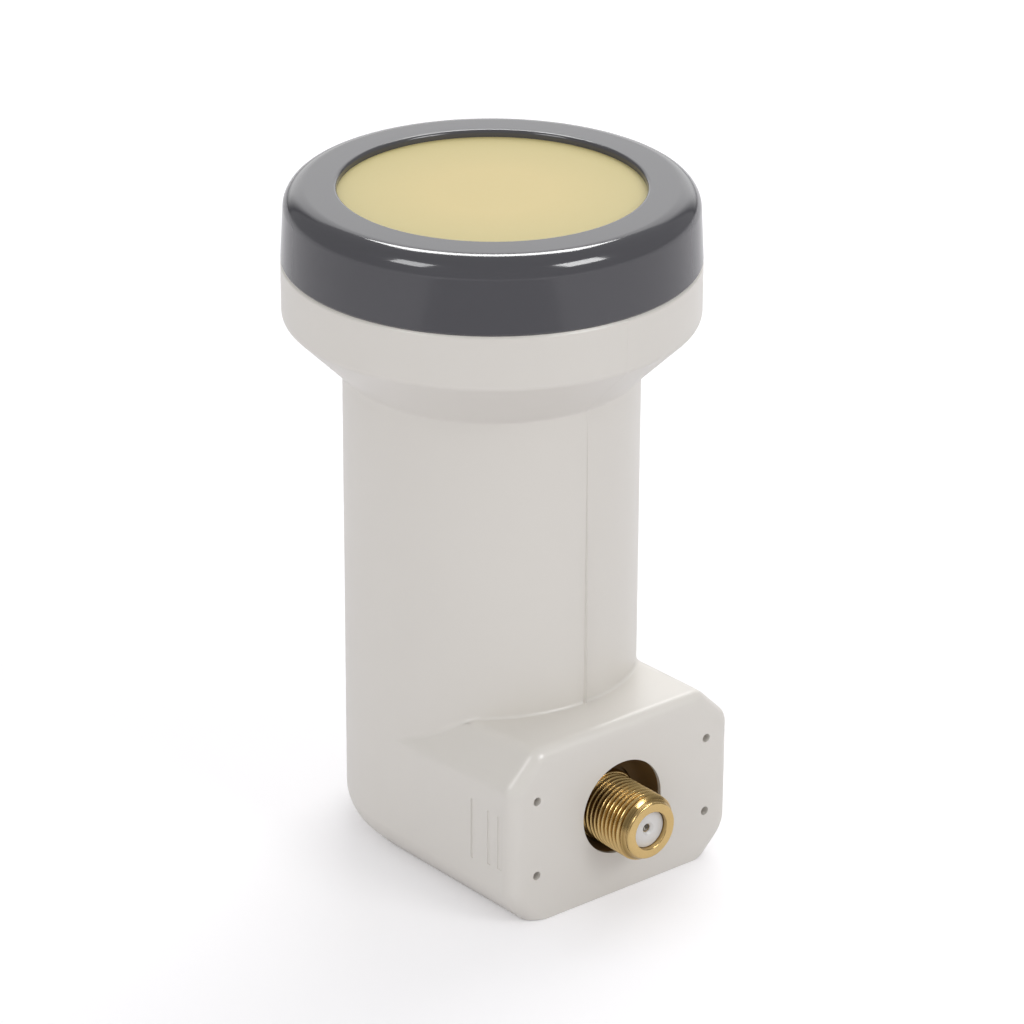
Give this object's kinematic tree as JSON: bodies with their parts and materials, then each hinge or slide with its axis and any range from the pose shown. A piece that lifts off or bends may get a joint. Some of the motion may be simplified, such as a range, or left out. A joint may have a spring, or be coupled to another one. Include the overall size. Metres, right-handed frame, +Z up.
{
  "type": "satellite lnb",
  "caption": "Low-noise block for a satellite dish: round feed with cap ring and window, flared clamp neck, and a foot with a threaded coaxial output.",
  "frame": {"origin": "point on the flat base below the neck's axis", "axes": "+Z up the neck to the feed window, -Y out of the foot along the output connector, +X to the right seen from the connector"},
  "size_m": [0.056, 0.0625, 0.0935],
  "materials": {
    "case_grey": "moulded light grey plastic, fine satin",
    "ring_grey": "moulded dark grey plastic, glossy",
    "window_cream": "moulded pale yellow plastic, slightly translucent",
    "seal_black": "moulded rubber",
    "cast_aluminium": "die cast, as cast",
    "screw_steel": "zinc plated",
    "absorber_grey": "filled rubber sheet",
    "board_green": "coated glass laminate",
    "chip_black": "moulded resin",
    "crystal_metal": "plated lid",
    "ferrite": "pressed ferrite",
    "capacitor_tan": "fired ceramic",
    "socket_gold": "turned and gold plated",
    "contact_gold": "spring bronze, gold plated",
    "core_white": "white plastic"
  },
  "bodies": {
    "root": {"housing": "case_grey", "bottom_cover": "case_grey", "cap_ring": "ring_grey", "feed_window": "window_cream", "window_seal": "seal_black", "bottom_seal": "seal_black", "connector_seal": "seal_black", "feed_horn": "cast_aluminium", "waveguide_chassis": "cast_aluminium", "shield_cover": "cast_aluminium", "horn_screws": "screw_steel", "shield_screws": "screw_steel", "bottom_screws": "screw_steel", "absorber_pad": "absorber_grey", "circuit_board": "board_green", "amplifier_transistors": "chip_black", "converter_chip": "chip_black", "regulator": "chip_black", "crystal": "crystal_metal", "supply_choke": "ferrite", "chip_capacitors": "capacitor_tan", "connector_body": "socket_gold", "connector_contact": "contact_gold", "connector_insulator": "core_white", "connector_bush": "core_white"}
  },
  "joints": []
}
